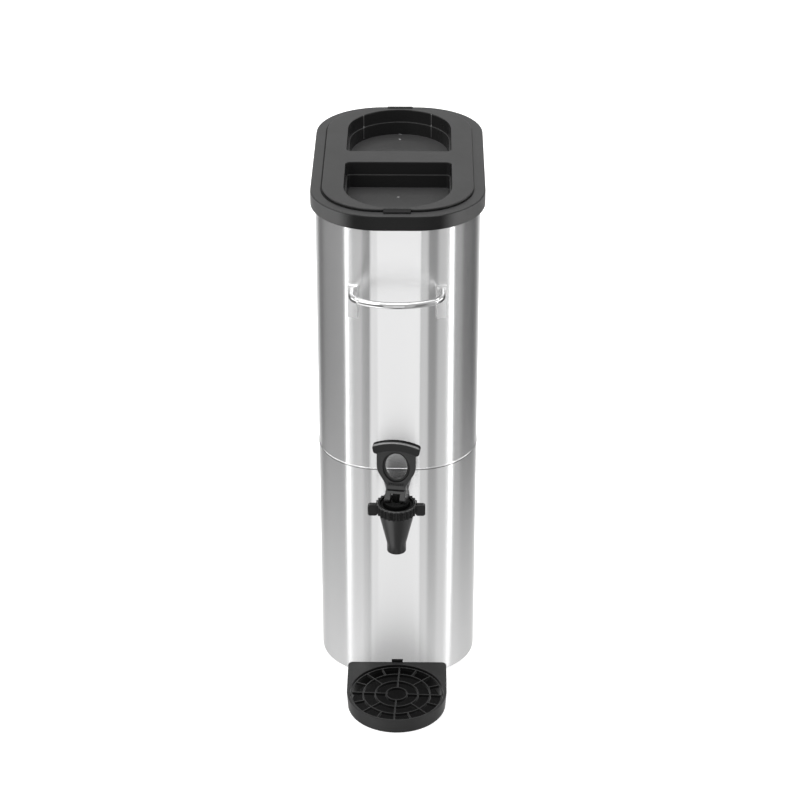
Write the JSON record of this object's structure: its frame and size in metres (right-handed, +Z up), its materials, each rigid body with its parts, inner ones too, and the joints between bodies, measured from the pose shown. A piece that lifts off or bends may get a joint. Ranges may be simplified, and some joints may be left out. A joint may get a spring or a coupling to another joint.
{
  "type": "iced tea dispenser",
  "caption": "Narrow free-standing steel drinks dispenser with a black lift-off lid, carrying handles, a self-closing lever tap and a drip tray with a lift-out grate.",
  "frame": {"origin": "on the surface the dispenser stands on, at the middle of its whole plan, tray and rear handle included", "axes": "+Z up; the tap and tray face -Y; +X is to the right of someone facing the tap"},
  "size_m": [0.1652, 0.3981, 0.5146],
  "materials": {
    "polished_steel": "polished",
    "satin_steel": "satin",
    "lid_plastic": "fine matte texture",
    "tap_plastic": "semi-gloss",
    "tray_plastic": "satin",
    "stem_plastic": "smooth",
    "seal_rubber": "soft matte",
    "foot_rubber": "matte"
  },
  "bodies": {
    "base": {"base_shell": "polished_steel", "base_plate": "satin_steel", "base_studs": "satin_steel", "base_nuts": "satin_steel", "feet": "foot_rubber", "tank_shell": "polished_steel", "tank_floor": "satin_steel", "front_handle": "polished_steel", "rear_handle": "polished_steel", "front_handle_plates": "polished_steel", "rear_handle_plates": "polished_steel", "faucet_body": "tap_plastic", "outer_washer": "seal_rubber", "inner_washer": "seal_rubber", "shank_nut": "tap_plastic", "faucet_bonnet": "tap_plastic"},
    "lid": {"lid_rim": "lid_plastic", "lid_cover": "lid_plastic", "lid_gasket": "seal_rubber"},
    "stem": {"faucet_stem": "stem_plastic", "seat_cup": "seal_rubber"},
    "lever": {"faucet_lever": "tap_plastic", "lever_pin": "satin_steel"},
    "tray": {"drip_tray": "tray_plastic"},
    "grate": {"drip_grate": "tray_plastic"}
  },
  "joints": [
    {"name": "lid_lift", "type": "slide", "parent": "base", "child": "lid", "axis": [0, 0, 1], "range_m": [0, 0.12]},
    {"name": "stem_lift", "type": "slide", "parent": "base", "child": "stem", "axis": [0, 0, 1], "range_m": [0, 0.00524]},
    {"name": "lever_tilt", "type": "hinge", "parent": "stem", "child": "lever", "pos_m": [0, -0.14889, 0.2435], "axis": [0.9903, -0.1392, 0], "range_deg": [0, 75], "stiffness_Nm_per_rad": 0.25, "springref_deg": -11.46},
    {"name": "tray_slide", "type": "slide", "parent": "base", "child": "tray", "axis": [0, -1, 0], "range_m": [0, 0.12]},
    {"name": "grate_lift", "type": "slide", "parent": "tray", "child": "grate", "axis": [0, 0, 1], "range_m": [0, 0.03]}
  ],
  "couplings": [
    {"joint": "stem_lift", "follows": "lever_tilt", "m_per_rad": 0.004}
  ]
}
